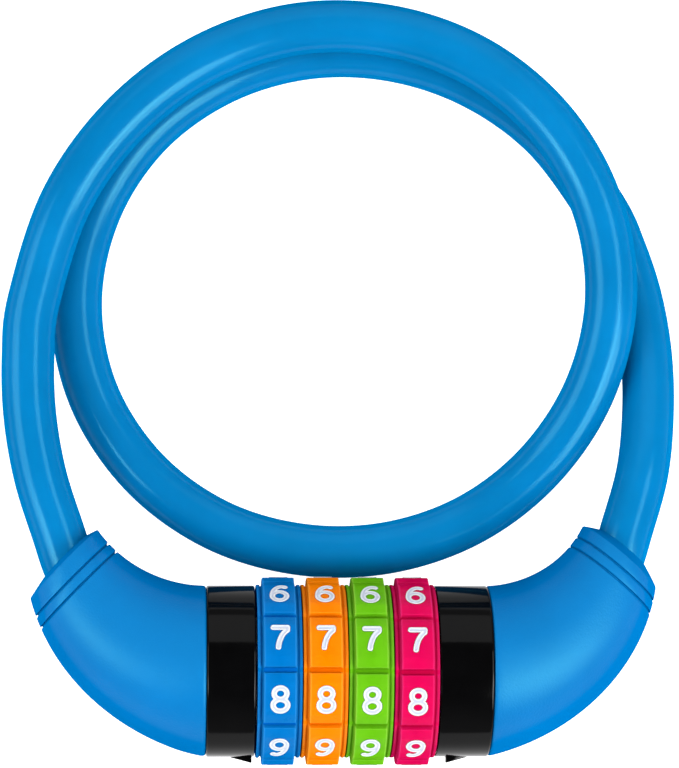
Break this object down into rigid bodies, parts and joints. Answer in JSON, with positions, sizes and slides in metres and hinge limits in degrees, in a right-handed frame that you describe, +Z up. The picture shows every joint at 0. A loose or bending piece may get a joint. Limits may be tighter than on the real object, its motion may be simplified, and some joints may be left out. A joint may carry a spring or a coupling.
{
  "type": "combination cable lock",
  "caption": "Combination cable lock: a sheathed wire rope in nearly two turns joins the curved boots of a dial barrel and its pull-out toothed plug.",
  "frame": {"origin": "on the surface the lock lies on, below the centre of the lock head's box (cable left out)", "axes": "+X along the barrel towards the plug, +Y from the head to the loop of cable, +Z up from the surface"},
  "size_m": [0.1288, 0.1457, 0.0352],
  "materials": {
    "cable_vinyl": "glossy, slightly translucent extruded vinyl",
    "boot_vinyl": "satin moulded vinyl with a fine grain",
    "collar_black": "polished black moulding",
    "dial_blue": "semi-gloss moulded plastic with white filled digits",
    "dial_orange": "semi-gloss moulded plastic with white filled digits",
    "dial_green": "semi-gloss moulded plastic with white filled digits",
    "dial_pink": "semi-gloss moulded plastic with white filled digits",
    "cast_zinc": "bare die-cast zinc alloy",
    "code_metal": "bare machined metal",
    "steel": "crimped steel",
    "spring_steel": "tempered strip",
    "black_steel": "blackened steel",
    "wire_rope": "stranded wire rope"
  },
  "bodies": {
    "barrel": {"barrel_core": "cast_zinc", "barrel_end_plate": "collar_black", "retaining_clip": "spring_steel", "left_collar": "collar_black", "left_boot": "boot_vinyl", "left_ferrule": "steel", "left_set_screw": "black_steel", "detent_leaf_1": "spring_steel", "detent_leaf_2": "spring_steel", "detent_leaf_3": "spring_steel", "detent_leaf_4": "spring_steel", "cable_sheath": "cable_vinyl", "cable_core": "wire_rope"},
    "dial_body_1": {"dial_1": "dial_blue", "code_ring_1": "code_metal"},
    "dial_body_2": {"dial_2": "dial_orange", "code_ring_2": "code_metal"},
    "dial_body_3": {"dial_3": "dial_green", "code_ring_3": "code_metal"},
    "dial_body_4": {"dial_4": "dial_pink", "code_ring_4": "code_metal"},
    "plug": {"plug_pin": "cast_zinc", "right_collar": "collar_black", "right_boot": "boot_vinyl", "right_ferrule": "steel", "right_set_screw": "black_steel"}
  },
  "joints": [
    {"name": "dial_1_turn", "type": "hinge", "parent": "barrel", "child": "dial_body_1", "pos_m": [-0.01301, -0.00481, 0.01761], "axis": [1, 0, 0], "continuous": true, "deforming": ["detent_leaf_1"]},
    {"name": "dial_2_turn", "type": "hinge", "parent": "barrel", "child": "dial_body_2", "pos_m": [-0.00461, -0.00481, 0.01761], "axis": [1, 0, 0], "continuous": true, "deforming": ["detent_leaf_2"]},
    {"name": "dial_3_turn", "type": "hinge", "parent": "barrel", "child": "dial_body_3", "pos_m": [0.00379, -0.00481, 0.01761], "axis": [1, 0, 0], "continuous": true, "deforming": ["detent_leaf_3"]},
    {"name": "dial_4_turn", "type": "hinge", "parent": "barrel", "child": "dial_body_4", "pos_m": [0.01219, -0.00481, 0.01761], "axis": [1, 0, 0], "continuous": true, "deforming": ["detent_leaf_4"]},
    {"name": "plug_slide", "type": "slide", "parent": "barrel", "child": "plug", "axis": [1, 0, 0], "range_m": [0, 0.04], "deforming": ["cable_sheath", "cable_core"]}
  ]
}
